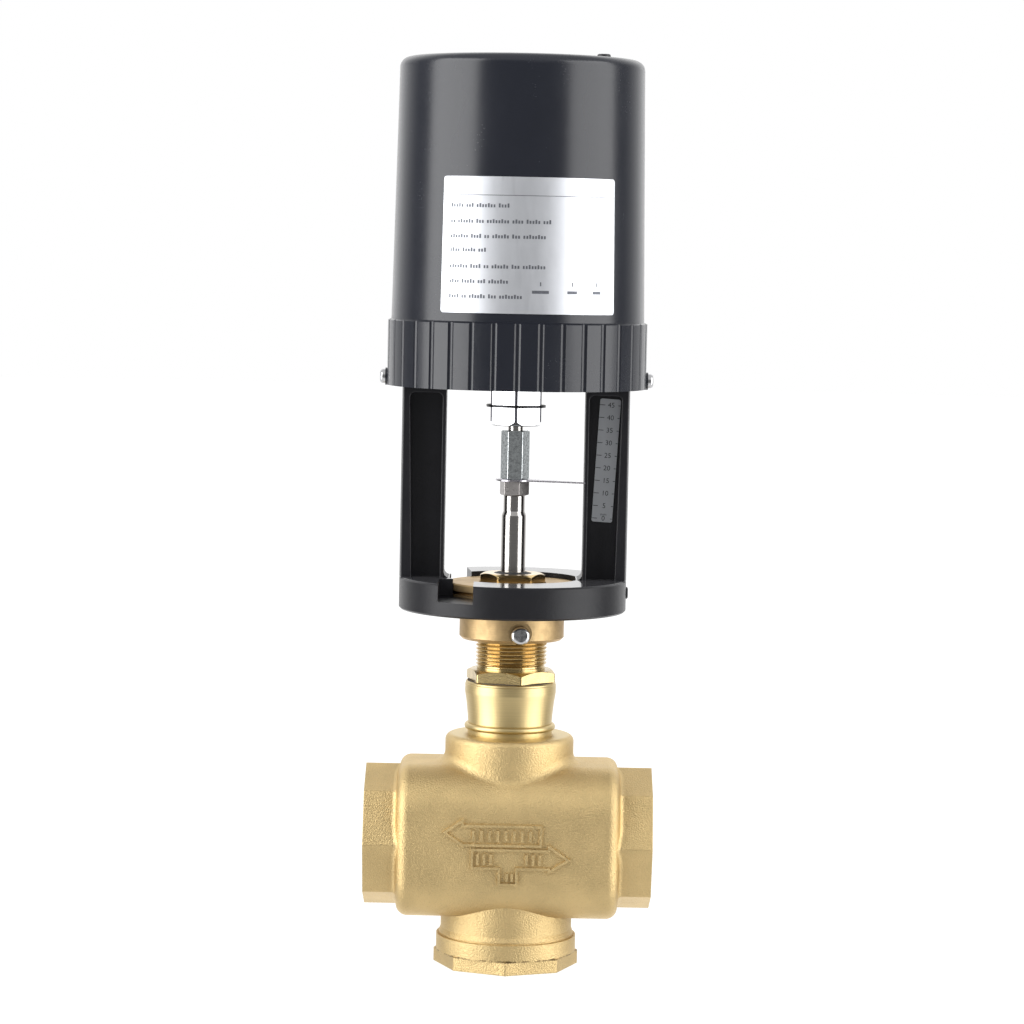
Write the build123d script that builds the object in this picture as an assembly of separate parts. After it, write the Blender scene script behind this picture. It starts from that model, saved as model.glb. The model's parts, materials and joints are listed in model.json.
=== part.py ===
from build123d import *
import math
import os

# Motorised three-way globe valve: cast brass body, screwed bonnet, black yoke and linear actuator.
# Millimetres. +Z is up along the stem and +X runs from port A to port AB.
# The origin is the centre of the lower face, at the mouth of port B.

# ---- driving dimensions -------------------------------------------------------------------

# valve body
FACE_TO_FACE = 114.0          # port A face to port AB face
BORE_AXIS_Z = 51.0            # height of the two side ports
BODY_LENGTH = 87.6
BODY_DEPTH = 62.0
BODY_HEIGHT = 60.4
BODY_CORNER = 18.0
PORT_THREAD_R = 23.9          # G 1 1/2 female thread, bored plain at its major radius
PORT_THREAD = 17.0            # depth of the side and bottom threads
PORT_LEAD_IN = 0.7            # chamfer at the mouth of each side port
SIDE_OCTAGON_R = 28.4
BASE_OCTAGON_R = 28.9
BOSS_R = 25.6
BOSS_TOP = 92.3
NECK_TOP = 113.5              # top of the machined neck
GASKET = 0.3

# stem and its stroke
STEM_R = 4.95
STROKE_UP = 5.0               # travel left above the stored position
STROKE_DOWN = 15.0            # travel left below it
RUNNING = 0.05                # radial clearance of a running fit

# plug and seats, at the stored position
SEAT_R = 16.5
PLUG_R = 18.5
PLUG_LOW = 48.3
PLUG_HIGH = 59.7
LOWER_SEAT_Z = 34.0
UPPER_SEAT_Z = 64.0

# bonnet and gland
BONNET_THREAD_R = 13.3        # M28 x 1.5, a plain cylinder at its root radius
BONNET_TOP = 152.4
PACKING_R = 9.0

# yoke
YOKE_R = 45.15
YOKE_HOLE_R = 26.4
YOKE_LOW = 142.1
YOKE_RING_TOP = 154.9
WINDOW_HALF = 27.4
PILLAR_HALF = 8.5
PILLAR_EDGE = 0.5             # rounding of the pillars' long edges
PILLAR_WEB_HALF = 2.6         # web between the two flanges of a pillar
RECESS_IN = 29.0
RECESS_OUT_LOW = 40.2         # the outer flange thickens towards the ring
RECESS_OUT_HIGH = 41.8
PLATE_LOW = 231.0             # actuator base plate, cast with the pillars
PLATE_TOP = 238.0
PLATE_R = 48.4

# cover
COVER_TOP = 359.4
COVER_TOP_R = 48.2
COVER_LOW_R = 50.0
COVER_TAPER_LOW = 257.0
COVER_TAPER_TOP = 355.4
SKIRT_R = 51.3
SKIRT_LOW = 230.7
SKIRT_TOP = 256.3
WALL = 2.5
FLUTES = 36
FLUTE_R = 1.7
FLUTE_DEPTH = 0.6
COVER_SCREW_Z = 233.8
SCREW_SEAT_R = 52.0           # distance of the cover screws' seats from the stem

# stem coupling
SPINDLE_LOW = 215.3
SPINDLE_FLATS = 20.0
SPINDLE_HEX_TOP = 249.0
SPINDLE_THREAD_R = 7.0
SPINDLE_THREAD_TOP = 294.0
STUD_R = 3.0
COUPLING_LOW = 194.0          # on top of the pointer
COUPLING_TOP = 213.4
SHOULDER_Z = 187.7            # where the stem steps down to its M6 thread
POINTER_Z = 193.4
SCALE_ZERO_Z = 179.2
SCALE_X = 36.1
SCALE_WIDTH = 8.2
SCALE_LENGTH = 48.9
SCALE_THICK = 0.4
SCALE_LEAN = 3.0

# gear train
PRESSURE_ANGLE = math.radians(25)
ADDENDUM = 0.8                # in modules
DEDENDUM = 1.05
BACKLASH = 0.09
DRIVE_TEETH = 50
DRIVE_MODULE = 1.0
SHAFT_TEETH = 14
WHEEL_TEETH = 46
WHEEL_MODULE = 0.6
MOTOR_TEETH = 12
SHAFT_X = 31.75               # override shaft, under the plug in the cover's top
SHAFT_Y = -4.0
SHAFT_R = 3.0
MOTOR_X = 18.7
MOTOR_Y = 18.7
MOTOR_R = 18.0
LOWER_PLATE_Z = 251.0
UPPER_PLATE_Z = 274.0
GEAR_PLATE = 2.5
GEAR_PLATE_R = 42.0
GEAR_PLATE_BACK = 41.0
DRIVE_LOW = 255.0
DRIVE_HIGH = 265.0
WHEEL_LOW = 267.0
WHEEL_HIGH = 271.0
DRIVE_HUB_R = 13.0
DRIVE_NECK_R = 9.5
POST_RING_R = 36.0
POST_ANGLES = (105, 160, 230, 305)
BOARD_POSTS = ((-26.0, 26.0), (-36.0, -14.0), (6.0, -37.0))
BOARD_Z = 318.0
GLAND_Z = 250.0
GLAND_FACE_Y = 54.0

BASE = (Align.CENTER, Align.CENTER, Align.MIN)
os.makedirs("parts", exist_ok=True)


# ---- helpers --------------------------------------------------------------------------------

def rod(radius, low, high, x=0.0, y=0.0):
    """A vertical cylinder between two heights."""
    return Pos(x, y, low) * Cylinder(radius, high - low, align=BASE)


def ring(outer, inner, low, high, x=0.0, y=0.0):
    """A vertical tube between two heights."""
    return rod(outer, low, high, x, y) - rod(inner, low, high, x, y)


def block(x_low, x_high, y_low, y_high, z_low, z_high):
    """A box given by its faces."""
    middle = Pos((x_low + x_high) / 2, (y_low + y_high) / 2, (z_low + z_high) / 2)
    return middle * Box(x_high - x_low, y_high - y_low, z_high - z_low)


def turned(*outline):
    """A solid of revolution about the Z axis from (radius, height) points."""
    return revolve(Plane.XZ * make_face(Polyline(*outline, close=True)), Axis.Z)


def prism(sides, across_flats, low, high, turn=0.0):
    """An upright regular prism; with turn 0 a corner points along +X."""
    shape = RegularPolygon(across_flats / 2, sides, major_radius=False, rotation=turn)
    return extrude(Pos(0, 0, low) * shape, high - low)


def hex_nut(across_flats, low, high, hole_r, turn=0.0, both_ends=True, corner=0.0):
    """A hexagon nut with its corners turned down at 30 degrees and its long edges rounded."""
    corner_r = across_flats / math.sqrt(3)
    face_r = across_flats * 0.5
    slope = (corner_r - face_r) * math.tan(math.radians(30))
    low_r = face_r if both_ends else corner_r
    low_slope = slope if both_ends else 0.01
    barrel = turned((0, low), (low_r, low), (corner_r + 0.01, low + low_slope),
                    (corner_r + 0.01, high - slope), (face_r, high), (0, high))
    flats = prism(6, across_flats, low, high, turn)
    if corner:
        flats = fillet(flats.edges().filter_by(Axis.Z), corner)
    return (flats & barrel) - rod(hole_r, low, high)


def pan_screw(head_r, head_h, shank_r, length):
    """A cross-recessed pan head screw along +Z, with the underside of its head at the origin."""
    head = Cylinder(head_r, head_h, align=BASE)
    head = fillet(head.edges().filter_by(GeomType.CIRCLE).sort_by(Axis.Z)[-1], head_h * 0.62)
    recess_width = head_r * 0.34
    recess_length = head_r * 1.3
    for turn in (0, 90):
        slot = Box(recess_length, recess_width, head_h, align=BASE)
        head -= Pos(0, 0, head_h * 0.25) * Rot(0, 0, turn) * slot
    return head + Pos(0, 0, -length) * Cylinder(shank_r, length, align=BASE)


def radial(angle, distance, height):
    """A place at the given azimuth whose +Z axis points outwards from the stem."""
    return Rot(0, 0, angle) * Pos(distance, 0, height) * Rot(0, 90, 0)


def cover_radius(height):
    """Outer radius of the tapered cover at a height."""
    share = (height - COVER_TAPER_LOW) / (COVER_TAPER_TOP - COVER_TAPER_LOW)
    return COVER_LOW_R + (COVER_TOP_R - COVER_LOW_R) * share


def involute(angle):
    return math.tan(angle) - angle


def gear(teeth, module, low, high):
    """An involute spur gear about the Z axis with one tooth centred on +X."""
    pitch_r = module * teeth / 2
    base_r = pitch_r * math.cos(PRESSURE_ANGLE)
    tip_r = pitch_r + ADDENDUM * module
    root_r = pitch_r - DEDENDUM * module
    half_tooth = math.pi / (2 * teeth) - BACKLASH / (2 * pitch_r)
    flank_steps = 4
    flank = []
    for step in range(flank_steps + 1):
        start_r = max(base_r, root_r)
        radius = start_r + (tip_r - start_r) * step / flank_steps
        roll = math.acos(min(1.0, base_r / radius))
        flank.append((radius, half_tooth + involute(PRESSURE_ANGLE) - involute(roll)))
    flank.insert(0, (root_r - 0.01, flank[0][1]))
    outline = []
    for tooth in range(teeth):
        middle = 2 * math.pi * tooth / teeth
        near_side = [(radius, middle - spread) for radius, spread in flank]
        far_side = [(radius, middle + spread) for radius, spread in reversed(flank)]
        for radius, angle in near_side + far_side:
            outline.append((radius * math.cos(angle), radius * math.sin(angle)))
    return extrude(Pos(0, 0, low) * make_face(Polyline(*outline, close=True)), high - low)


def save(name, shape):
    export_step(shape, f"parts/{name}.step")


def save_group(name, solids):
    export_step(Compound(children=list(solids)), f"parts/{name}.step")


# ---- valve ----------------------------------------------------------------------------------

def arrow_relief(*outline):
    """A raised outline on the front of the body."""
    front = Plane(origin=(0, -BODY_DEPTH / 2 + 1.0, 0), x_dir=(1, 0, 0), z_dir=(0, -1, 0))
    line_width = 1.0
    relief = 2.0
    shape = make_face(Polyline(*outline, close=True))
    frame_shape = shape - offset(shape, -line_width, kind=Kind.INTERSECTION)
    return extrude(front * frame_shape, relief)


def foundry_bars(x_first, count, pitch, z_low, height):
    """Plain raised bars inside an arrow, where a foundry casts its own marks."""
    face_y = -BODY_DEPTH / 2
    bars = []
    for number in range(count):
        x = x_first + number * pitch
        bars.append(block(x, x + 1.1, face_y - 0.9, face_y + 1.0, z_low, z_low + height))
    return bars


def lies_on_boss(edge):
    """True for the curve where the side of the boss meets the top of the body."""
    middle = edge.position_at(0.5)
    distance = math.hypot(middle.X, middle.Y)
    return abs(distance - BOSS_R) < 0.2 and middle.Z > 70 and edge.bounding_box().max.Z < BOSS_TOP - 4


def lies_at_port_root(edge):
    """True for the seam where the octagon of a side port meets the rounded end of the body."""
    middle = edge.position_at(0.5)
    box = edge.bounding_box()
    near = min(abs(box.min.X), abs(box.max.X))
    on_one_side = box.min.X * box.max.X > 0
    distance = math.hypot(middle.Y, middle.Z - BORE_AXIS_Z)
    half = BODY_LENGTH / 2
    return on_one_side and half - 4 < near and abs(middle.X) < half + 0.3 and 25 < distance < 29


def valve_body():
    half = BODY_LENGTH / 2
    section = RectangleRounded(BODY_DEPTH, BODY_HEIGHT, BODY_CORNER)
    body = extrude(Plane.YZ.offset(-half) * Pos(0, BORE_AXIS_Z) * section, BODY_LENGTH)
    ends = body.faces().sort_by(Axis.X)
    body = fillet(ends[0].edges() + ends[-1].edges(), 4.5)

    # side ports, octagons that run into the casting with a soft fillet
    port_root = half - 6.0
    octagon = RegularPolygon(SIDE_OCTAGON_R, 8)
    for side in (-1, 1):
        start = Plane.YZ.offset(side * port_root) * Pos(0, BORE_AXIS_Z) * octagon
        port = extrude(start, side * (FACE_TO_FACE / 2 - port_root))
        body += fillet(port.edges().filter_by(Axis.X), 1.2)
    body = fillet([edge for edge in body.edges() if lies_at_port_root(edge)], 2.0)

    # boss under the neck, blended into the casting
    boss = rod(BOSS_R, BORE_AXIS_Z, BOSS_TOP)
    boss = fillet(boss.edges().filter_by(GeomType.CIRCLE).sort_by(Axis.Z)[-1], 2.6)
    body += boss
    body = fillet([edge for edge in body.edges() if lies_on_boss(edge)], 4.0)

    # bottom neck, its turned ring and the octagon that takes the spanner
    base_height = 5.3
    base_octagon = extrude(RegularPolygon(BASE_OCTAGON_R, 8), base_height)
    body += rod(26.2, 11.2, BORE_AXIS_Z)
    body += turned((0, base_height), (27.9, base_height), (27.9, 11.7), (27.7, 11.9),
                    (26.8, 11.9), (26.8, 12.8), (26.2, 14.5), (0, 14.5))
    body += fillet(base_octagon.edges().filter_by(Axis.Z), 1.2)

    # machined neck with its bead and swelling barrel
    neck_line = Polyline((0, 90), (16.8, 90), (16.8, 94.1))
    bead_line = ThreePointArc((16.8, 94.1), (18.1, 95.2), (16.7, 96.7))
    barrel_line = ThreePointArc((16.7, 96.7), (17.2, 102.8), (18.1, 109.0))
    top_line = Polyline((18.1, 109.0), (18.1, NECK_TOP - 1.2), (17.9, NECK_TOP - 1.0),
                        (17.9, NECK_TOP - 0.4), (17.5, NECK_TOP), (0, NECK_TOP), (0, 90))
    body += revolve(Plane.XZ * make_face(neck_line + bead_line + barrel_line + top_line), Axis.Z)

    # flow direction arrows
    body += arrow_relief((-25.7, 57.1), (-17.3, 62.8), (-17.3, 60.4), (13.5, 60.4), (13.5, 51.8),
                         (-17.3, 51.8), (-17.3, 51.4))
    body += arrow_relief((-14.3, 51.0), (15.8, 51.0), (15.8, 53.1), (24.8, 46.9), (15.8, 41.3),
                         (15.8, 42.7), (4.2, 42.7), (4.2, 36.4), (-3.7, 36.4), (-3.7, 42.7), (-14.3, 42.7))
    for bars in (foundry_bars(-14.0, 8, 3.2, 53.9, 4.3), foundry_bars(-12.2, 3, 2.6, 44.6, 4.3),
                 foundry_bars(7.0, 3, 2.6, 44.6, 4.3), foundry_bars(-0.6, 2, 2.0, 38.2, 3.2)):
        for bar in bars:
            body += bar

    # port B, lower seat thread, middle chamber, upper seat, upper chamber and neck thread
    body -= rod(PORT_THREAD_R, 0, PORT_THREAD)
    body -= rod(20.5, PORT_THREAD, 31.0)
    body -= rod(22.5, 31.0, UPPER_SEAT_Z)
    body -= rod(SEAT_R, UPPER_SEAT_Z, 69.0)
    body -= turned((0, 69.0), (20.0, 69.0), (20.0, 84.0), (12.5, 90.0), (12.5, NECK_TOP), (0, NECK_TOP))

    # ports A and AB, and the passages from them
    for side in (-1, 1):
        for radius, near in ((PORT_THREAD_R, FACE_TO_FACE / 2 - PORT_THREAD), (19.0, 28.0)):
            bore = Plane.YZ.offset(side * near) * Pos(0, BORE_AXIS_Z) * Circle(radius)
            body -= extrude(bore, side * (FACE_TO_FACE / 2 - near))
        lead_in = Pos(side * FACE_TO_FACE / 2, 0, BORE_AXIS_Z) * Rot(0, -side * 90, 0)
        body -= lead_in * Cone(PORT_THREAD_R + PORT_LEAD_IN, PORT_THREAD_R, PORT_LEAD_IN, align=BASE)
    body -= block(-40.0, -27.0, -14.0, 14.0, BORE_AXIS_Z, 77.0)
    body -= block(-28.0, -10.0, -12.0, 12.0, 69.5, 77.0)
    body -= block(16.0, 30.0, -13.0, 13.0, 35.0, 62.5)
    return body


def lower_seat_ring():
    seat = turned((SEAT_R, 19.0), (20.4, 19.0), (20.4, 31.0), (19.4, 31.0), (19.4, LOWER_SEAT_Z),
                  (SEAT_R, LOWER_SEAT_Z))
    for turn in (0, 90):
        seat -= Rot(0, 0, turn) * block(-21, 21, -2.0, 2.0, 19.0, 21.5)
    return seat


def valve_plug():
    plug = turned((4.02, PLUG_LOW), (15.5, PLUG_LOW), (PLUG_R, PLUG_LOW + 2.7), (PLUG_R, PLUG_HIGH - 2.7),
                  (15.5, PLUG_HIGH), (4.02, PLUG_HIGH))
    groove = ring(PLUG_R + 1, PLUG_R - 0.8, PLUG_LOW + 5.2, PLUG_HIGH - 5.2)
    return plug - groove


def valve_stem():
    return turned((0, 40.8), (3.4, 40.8), (4.0, 41.4), (4.0, PLUG_HIGH), (STEM_R, PLUG_HIGH),
                  (STEM_R, 179.6), (4.3, 181.3), (4.3, SHOULDER_Z - 0.3), (4.0, SHOULDER_Z),
                  (STUD_R - 0.02, SHOULDER_Z), (STUD_R - 0.02, 203.0), (0, 203.0))


def bonnet():
    hex_low = NECK_TOP + GASKET
    body = turned((0, 99.0), (11.9, 99.0), (12.45, 99.6), (12.45, hex_low), (13.0, hex_low),
                  (13.0, 118.3), (13.6, 118.3), (13.6, 119.2), (BONNET_THREAD_R, 119.4),
                  (BONNET_THREAD_R, BONNET_TOP - 0.6), (12.9, BONNET_TOP), (0, BONNET_TOP))
    body += hex_nut(32.0, hex_low, 118.3, 5.0, turn=-17, both_ends=False, corner=1.0)
    body -= rod(STEM_R + 0.25, 99.0, 128.0)
    body -= rod(PACKING_R, 128.0, BONNET_TOP)
    return body


def packing_rings():
    first = 129.5
    height = 2.5
    for number in range(4):
        low = first + number * height
        yield ring(PACKING_R - 0.05, STEM_R + RUNNING, low, low + height - 0.1)


def gland_nut():
    nut = rod(PACKING_R - 0.05, 139.7, BONNET_TOP)
    nut += hex_nut(23.0, BONNET_TOP, 156.6, 1.0, turn=4, corner=2.0)
    nut -= rod(STEM_R + 0.25, 139.7, 156.6)
    return nut - rod(7.5, 154.6, 156.6)


def stem_wiper():
    bore = STEM_R + RUNNING
    return turned((bore, 154.6), (7.45, 154.6), (7.45, 156.6), (5.6, 157.1), (bore, 157.1))


# ---- yoke -----------------------------------------------------------------------------------

ADAPTER_SCREW_ANGLE = -80.4
ADAPTER_SCREW_Z = 133.8
SET_SCREW_Z = 149.45


def yoke_adapter():
    """Turned brass hub that carries the yoke, screwed on the bonnet and grooved for the set screw."""
    bore = BONNET_THREAD_R + RUNNING
    hub = turned((bore, 130.4), (19.7, 130.4), (20.8, 131.5), (20.8, 142.3), (26.0, 142.3), (26.0, 148.7),
                 (24.0, 148.7), (24.0, 150.2), (26.0, 150.2), (26.0, 152.5), (25.5, 153.0), (bore, 153.0))
    hub -= radial(ADAPTER_SCREW_ANGLE, 12.0, ADAPTER_SCREW_Z) * Cylinder(2.05, 10.0, align=BASE)
    return hub - radial(ADAPTER_SCREW_ANGLE, 20.0, ADAPTER_SCREW_Z + 0.7) * Cylinder(4.6, 4.0, align=BASE)


def pillar_recess(side, face):
    """The leaning recess in the front or back of a pillar."""
    top = PLATE_LOW - 3
    outline = Polyline((side * RECESS_IN, YOKE_RING_TOP), (side * RECESS_OUT_LOW, YOKE_RING_TOP),
                       (side * RECESS_OUT_HIGH, top), (side * RECESS_IN, top), close=True)
    depth = PILLAR_HALF + 2 - PILLAR_WEB_HALF
    recess = extrude(Plane.XZ.offset(-face * PILLAR_WEB_HALF) * make_face(outline), -face * depth)
    return fillet(recess.edges().filter_by(Axis.Y).sort_by(Axis.Z)[-2:], 2.0)


def lies_on_pillar_face(edge):
    """True for the edges round the front and back faces of a pillar, its two ends left out."""
    box = edge.bounding_box()
    on_face = abs(abs(edge.center().Y) - PILLAR_HALF) < 0.01 and box.size.Y < 0.01
    return on_face and YOKE_LOW + 4 < edge.center().Z < PLATE_LOW + 2


def window_corner(side, height, up):
    """The rounded corner where a pillar meets the ring or the plate."""
    radius = 2.4
    sunk = 0.3
    x_low, x_high = sorted((side * (WINDOW_HALF - radius), side * (WINDOW_HALF + sunk)))
    z_low, z_high = sorted((height - up * sunk, height + up * radius))
    half = PILLAR_HALF - PILLAR_EDGE
    centre = Pos(side * (WINDOW_HALF - radius), 0, height + up * radius)
    hollow = centre * Rot(90, 0, 0) * Cylinder(radius, 2 * PILLAR_HALF)
    return block(x_low, x_high, -half, half, z_low, z_high) - hollow


def yoke():
    body = rod(YOKE_R, YOKE_LOW, YOKE_RING_TOP)
    body = chamfer(body.edges().filter_by(GeomType.CIRCLE), 0.7)
    body += rod(PLATE_R, PLATE_LOW, PLATE_TOP)
    for side in (-1, 1):
        inner, outer = sorted((side * WINDOW_HALF, side * (YOKE_R + 1)))
        pillar = block(inner, outer, -PILLAR_HALF, PILLAR_HALF, YOKE_LOW + 3, PLATE_LOW + 3)
        pillar &= rod(YOKE_R, YOKE_LOW, PLATE_TOP)
        for face in (-1, 1):
            pillar -= pillar_recess(side, face)
        body += fillet([edge for edge in pillar.edges() if lies_on_pillar_face(edge)], PILLAR_EDGE)
        body += window_corner(side, YOKE_RING_TOP, 1)
        body += window_corner(side, PLATE_LOW, -1)
    body -= rod(YOKE_HOLE_R, YOKE_LOW, YOKE_RING_TOP)

    # two locating notches through the left of the ring
    notch_floor = YOKE_RING_TOP - 7.0
    body -= block(-29.0, -15.2, -46.0, -12.0, notch_floor, YOKE_RING_TOP)
    body -= Rot(0, 0, 6) * block(-30.4, -14.4, 12.0, 46.0, notch_floor, YOKE_RING_TOP)

    # spindle guide seat, gear plate screw holes, cover screw holes and the set screw hole
    body -= rod(16.02, PLATE_LOW, PLATE_TOP)
    for place in post_places():
        body -= place * rod(2.05, PLATE_LOW, PLATE_TOP)
    for angle in (0, 180):
        body -= radial(angle, PLATE_R - 9.0, COVER_SCREW_Z) * Cylinder(2.05, 12.0, align=BASE)
    return body - radial(0, 20.0, SET_SCREW_Z) * Cylinder(2.45, 30.0, align=BASE)


def yoke_set_screw():
    screw = Cylinder(2.4, 18.6, align=BASE)
    screw = chamfer(screw.edges().filter_by(GeomType.CIRCLE).sort_by(Axis.Z)[-1], 0.4)
    screw += Pos(0, 0, -3.0) * Cylinder(0.65, 3.0, align=BASE)
    screw -= Pos(0, 0, 16.0) * extrude(RegularPolygon(1.25, 6, major_radius=False), 3.0)
    return radial(0, 27.3, SET_SCREW_Z) * screw


def travel_scale():
    """A stick-on scale, set slightly askew in the front recess of the right pillar."""
    plate = Box(SCALE_WIDTH, SCALE_THICK, SCALE_LENGTH)
    plate = fillet(plate.edges().filter_by(Axis.Y), 0.8)
    centre = Pos(SCALE_X, -PILLAR_WEB_HALF - SCALE_THICK / 2, SCALE_ZERO_Z + 23.0)
    return centre * Rot(0, SCALE_LEAN, 0) * plate


# ---- stem coupling --------------------------------------------------------------------------

def travel_pointer():
    """A thin washer with an arm that reaches past the front of the right pillar to the scale."""
    washer = Circle(7.6)
    root = (6.5 * math.cos(math.radians(60)), -6.5 * math.sin(math.radians(60)))
    arm = make_face(Polyline((5.0, 3.2), (27.8, -11.0), (27.8, -12.2), root, close=True))
    return extrude(Pos(0, 0, POINTER_Z) * (washer + arm - Circle(STUD_R + 0.05)), COUPLING_LOW - POINTER_Z)


def output_spindle():
    """Hexagon spindle that slides in the guide, with the lead screw above it."""
    hexagon = prism(6, SPINDLE_FLATS, SPINDLE_LOW, SPINDLE_HEX_TOP, turn=30)
    hexagon = fillet(hexagon.edges().filter_by(Axis.Z), 0.6)
    corner_r = SPINDLE_FLATS / math.sqrt(3) + 0.01
    rounded_end = turned((0, SPINDLE_LOW), (9.2, SPINDLE_LOW), (10.4, SPINDLE_LOW + 0.5),
                         (corner_r, SPINDLE_LOW + 2.2), (corner_r, SPINDLE_HEX_TOP - 0.8),
                         (10.2, SPINDLE_HEX_TOP), (0, SPINDLE_HEX_TOP))
    spindle = hexagon & rounded_end
    spindle += rod(SPINDLE_THREAD_R, SPINDLE_HEX_TOP, SPINDLE_THREAD_TOP)
    spindle += rod(STUD_R, SPINDLE_THREAD_TOP, SPINDLE_THREAD_TOP + 6.0)
    spindle -= ring(13.0, 9.3, 222.6, 223.6)
    return spindle - rod(STUD_R + 0.02, SPINDLE_LOW, 230.0)


def retaining_ring():
    clip = ring(11.8, 9.35, 222.65, 223.55)
    return clip - block(-2.0, 2.0, 5.0, 13.0, 222.0, 224.0)


def coupling_nut():
    return hex_nut(10.0, COUPLING_LOW, COUPLING_TOP, STUD_R + 0.02, corner=0.5)


# ---- cover and what is on it ----------------------------------------------------------------

def cover():
    outer = turned((0, SKIRT_LOW), (SKIRT_R, SKIRT_LOW), (SKIRT_R, SKIRT_TOP),
                   (COVER_LOW_R, COVER_TAPER_LOW), (COVER_TOP_R, COVER_TAPER_TOP),
                   (COVER_TOP_R, COVER_TOP), (0, COVER_TOP))
    outer = fillet(outer.edges().filter_by(GeomType.CIRCLE).sort_by(Axis.Z)[-1], 3.9)
    inner_top = COVER_TOP - 3.0
    inner = turned((0, SKIRT_LOW), (PLATE_R + 0.2, SKIRT_LOW), (PLATE_R + 0.2, PLATE_TOP + 0.3),
                   (COVER_LOW_R - WALL, PLATE_TOP + 0.3), (COVER_TOP_R - WALL, inner_top), (0, inner_top))
    body = outer - inner

    # shallow round flutes down the skirt
    tool = rod(FLUTE_R, SKIRT_LOW, SKIRT_TOP + 1.0, SKIRT_R + FLUTE_R - FLUTE_DEPTH)
    body -= [Rot(0, 0, 360 * number / FLUTES) * tool for number in range(FLUTES)]

    # rear boss for the cable gland
    boss = block(-11.0, 11.0, 45.5, GLAND_FACE_Y, GLAND_Z - 10.0, GLAND_Z + 10.0)
    boss = fillet(boss.edges().filter_by(Axis.Y), 3.0)
    body += boss
    body -= Pos(0, 40.0, GLAND_Z) * Rot(-90, 0, 0) * Cylinder(6.3, 20.0, align=BASE)

    # screw seats at both sides and the hole for the override plug
    for angle in (0, 180):
        body += radial(angle, 49.0, COVER_SCREW_Z) * Cylinder(3.5, SCREW_SEAT_R - 49.0, align=BASE)
        body -= radial(angle, 40.0, COVER_SCREW_Z) * Cylinder(2.15, 14.0, align=BASE)
    return body - rod(2.35, inner_top - 1, COVER_TOP, SHAFT_X, SHAFT_Y)


def cover_screws():
    for angle in (0, 180):
        yield radial(angle, SCREW_SEAT_R, COVER_SCREW_Z) * pan_screw(3.1, 2.1, 2.0, 10.7)


def override_plug():
    head = rod(2.65, COVER_TOP, COVER_TOP + 2.5, SHAFT_X, SHAFT_Y)
    head = fillet(head.edges().filter_by(GeomType.CIRCLE).sort_by(Axis.Z)[-1], 0.7)
    return head + rod(2.3, COVER_TOP - 3.4, COVER_TOP, SHAFT_X, SHAFT_Y)


def rating_label():
    low = 260.3
    high = 312.3
    left_azimuth = 233.7
    sweep_angle = 83.5
    thick = 0.3
    low_r = cover_radius(low)
    high_r = cover_radius(high)
    section = make_face(Polyline((low_r, low), (low_r + thick, low), (high_r + thick, high),
                                 (high_r, high), close=True))
    label = Rot(0, 0, left_azimuth) * revolve(Plane.XZ * section, Axis.Z, revolution_arc=sweep_angle)
    corners = [edge for edge in label.edges().filter_by(GeomType.LINE) if edge.length < thick * 1.5]
    return fillet(corners, 1.2)


def along_rear(shape):
    """Turn a part made along +Z so that it runs out of the rear boss along +Y."""
    return Pos(0, GLAND_FACE_Y, GLAND_Z) * Rot(-90, 0, 0) * shape


def cable_gland():
    body = hex_nut(16.0, 0, 4.5, 3.6) + ring(6.2, 3.6, -12.4, 0) + ring(6.6, 3.6, 4.5, 9.0)
    return along_rear(body)


def cable_gland_nut():
    nut = turned((6.65, 4.8), (8.9, 4.8), (8.9, 11.0), (7.2, 15.0), (5.2, 16.0), (5.2, 13.0), (6.65, 11.0))
    nut &= prism(6, 16.0, 0, 20.0)
    return along_rear(nut)


def cable_gland_seal():
    return along_rear(ring(5.1, 3.4, 9.3, 15.6))


def cable_gland_locknut():
    return along_rear(hex_nut(16.0, -11.7, -8.6, 6.22))


# ---- actuator drive -------------------------------------------------------------------------

def post_places():
    for angle in POST_ANGLES:
        turn = math.radians(angle)
        yield Pos(POST_RING_R * math.cos(turn), POST_RING_R * math.sin(turn), 0)


def shaft_angle():
    return math.degrees(math.atan2(SHAFT_Y, SHAFT_X))


def motor_direction():
    """Azimuth from the override shaft to the motor pinion."""
    return math.degrees(math.atan2(MOTOR_Y - SHAFT_Y, MOTOR_X - SHAFT_X))


def pinion_place():
    """Centre of the motor pinion, in mesh with the intermediate wheel."""
    distance = WHEEL_MODULE * (WHEEL_TEETH + MOTOR_TEETH) / 2
    turn = math.radians(motor_direction())
    return SHAFT_X + distance * math.cos(turn), SHAFT_Y + distance * math.sin(turn)


def spindle_guide():
    guide = rod(16.0, PLATE_LOW, PLATE_TOP)
    guide += rod(20.0, PLATE_TOP, PLATE_TOP + 2.5)
    guide += rod(15.0, PLATE_TOP, 246.0)
    return guide - prism(6, SPINDLE_FLATS + 2 * RUNNING, PLATE_LOW, 246.0, turn=30)


def gear_plate(low, centre_hole_r):
    high = low + GEAR_PLATE
    plate = rod(GEAR_PLATE_R, low, high) & block(-50, 50, -50, GEAR_PLATE_BACK, low, high)
    plate -= rod(centre_hole_r, low, high)
    plate -= rod(SHAFT_R + RUNNING, low, high, SHAFT_X, SHAFT_Y)
    for place in post_places():
        plate -= place * rod(2.1, low, high)
    return plate


def lower_gear_plate():
    return gear_plate(LOWER_PLATE_Z, 15.02)


def upper_gear_plate():
    plate = gear_plate(UPPER_PLATE_Z, DRIVE_NECK_R + RUNNING)
    x, y = pinion_place()
    return plate - rod(5.0, UPPER_PLATE_Z, UPPER_PLATE_Z + GEAR_PLATE, x, y)


def gear_plate_spacers():
    for place in post_places():
        yield place * ring(4.0, 2.1, PLATE_TOP, LOWER_PLATE_Z)
        yield place * ring(4.0, 2.1, LOWER_PLATE_Z + GEAR_PLATE, UPPER_PLATE_Z)


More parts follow.
